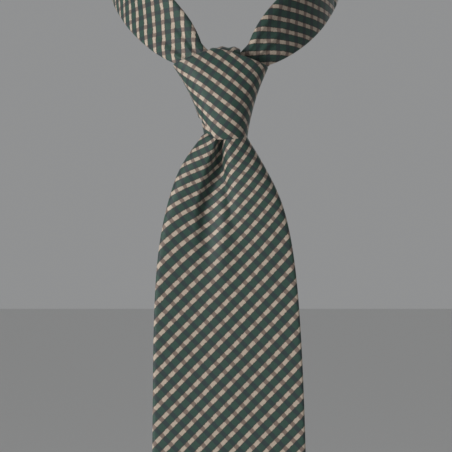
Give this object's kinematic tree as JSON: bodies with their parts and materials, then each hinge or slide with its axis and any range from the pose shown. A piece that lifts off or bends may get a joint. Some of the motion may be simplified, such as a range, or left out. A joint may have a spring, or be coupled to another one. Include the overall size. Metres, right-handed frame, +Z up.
{
  "type": "necktie",
  "caption": "Woven silk necktie with a fine diagonal check, tied in a four-in-hand knot with a dimple, its wide blade hanging over the narrow tail.",
  "frame": {"origin": "centre of the neck opening, on the axis of the wearer's neck", "axes": "+Z up along the neck and the hanging blade, -Y out of the tie's front face, +X to the right of someone who faces the wearer"},
  "size_m": [0.1332, 0.1523, 0.6025],
  "materials": {
    "silk": "satin",
    "interlining": "matte",
    "tipping": "satin",
    "thread": "satin",
    "label": "satin"
  },
  "bodies": {
    "neck_loop": {"blade_side_strand_shell": "silk", "blade_side_strand_interlining": "interlining", "neck_gusset_shell": "silk", "neck_gusset_interlining": "interlining", "tail_side_strand_shell": "silk", "tail_side_strand_interlining": "interlining"},
    "knot": {"knot_front_turn_shell": "silk", "knot_front_turn_interlining": "interlining", "knot_back_turn_shell": "silk", "knot_back_turn_interlining": "interlining", "knot_inner_turn": "silk", "knot_over_pass_shell": "silk", "knot_over_pass_interlining": "interlining"},
    "front_blade": {"blade_shell": "silk", "blade_interlining": "interlining", "blade_tipping": "tipping", "blade_slip_stitch": "thread", "blade_bar_tack": "thread", "keeper_loop": "silk", "keeper_stitch_left": "thread", "keeper_stitch_right": "thread", "woven_label": "label", "care_tag": "label"},
    "tail": {"tail_shell": "silk", "tail_interlining": "interlining", "tail_tipping": "tipping", "tail_slip_stitch": "thread", "tail_bar_tack": "thread"}
  },
  "joints": [
    {"name": "knot_slide", "type": "slide", "parent": "neck_loop", "child": "knot", "axis": [0, 0, -1], "range_m": [0, 0.04], "deforming": ["blade_side_strand_shell", "blade_side_strand_interlining", "tail_side_strand_shell", "tail_side_strand_interlining"]},
    {"name": "blade_lift", "type": "hinge", "parent": "knot", "child": "front_blade", "pos_m": [0, -0.0812, -0.091], "axis": [-1, 0, 0], "range_deg": [0, 45]},
    {"name": "tail_swing", "type": "hinge", "parent": "knot", "child": "tail", "pos_m": [0, -0.0681, -0.091], "axis": [1, 0, 0], "range_deg": [0, 30]}
  ]
}
